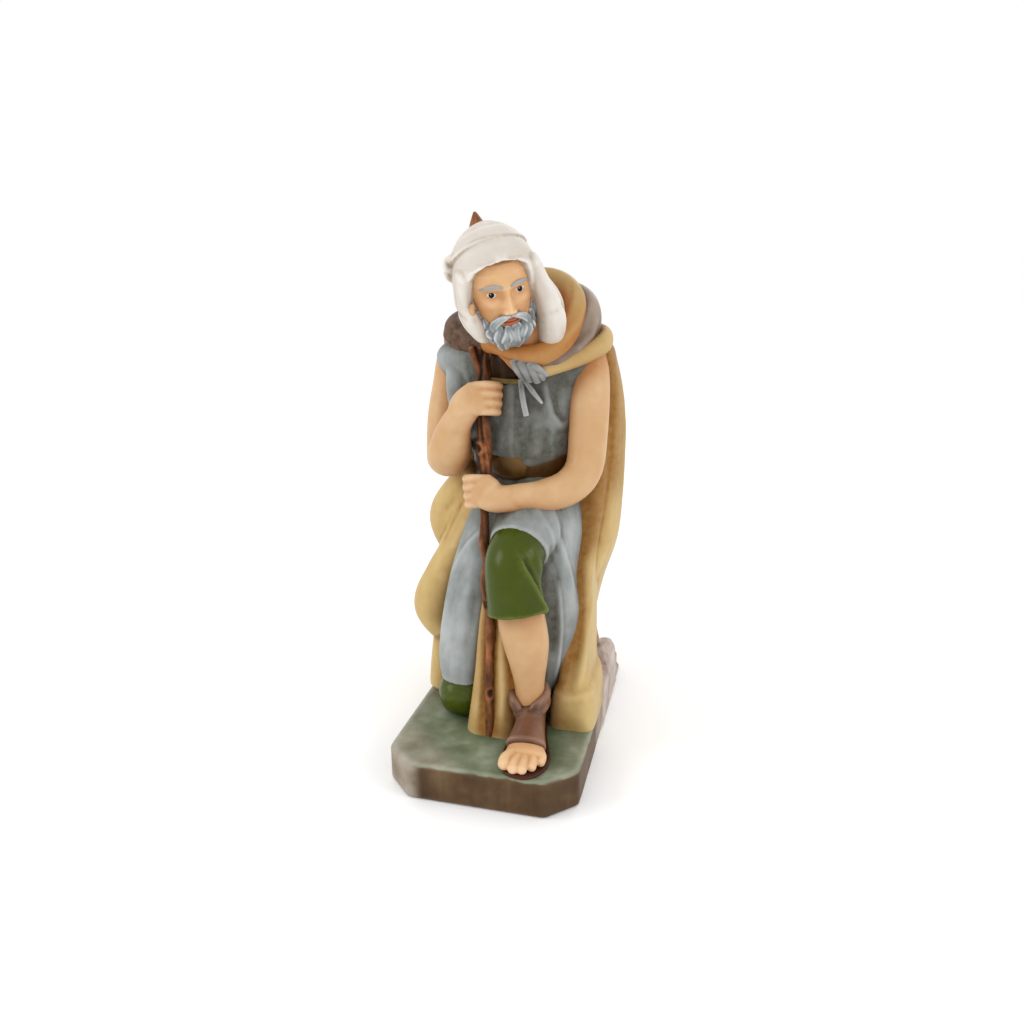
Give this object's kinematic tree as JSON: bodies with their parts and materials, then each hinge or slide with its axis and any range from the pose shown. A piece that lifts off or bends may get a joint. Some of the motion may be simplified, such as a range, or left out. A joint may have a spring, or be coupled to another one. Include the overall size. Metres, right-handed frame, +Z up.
{
  "type": "kneeling shepherd nativity figure",
  "caption": "Painted nativity figure of an old bearded shepherd kneeling on one knee, both hands on a gnarled staff, on a base with cut corners.",
  "frame": {"origin": "middle of the base's underside", "axes": "+Z up, the figure faces -Y, +X towards the figure's left hand"},
  "size_m": [0.0852, 0.138, 0.213],
  "materials": {
    "painted_casting": "hand-painted cast resin under a satin varnish",
    "painted_staff": "hand-painted cast resin in mottled bark brown, satin"
  },
  "bodies": {
    "root": {"figure": "painted_casting", "staff": "painted_staff"}
  },
  "joints": []
}
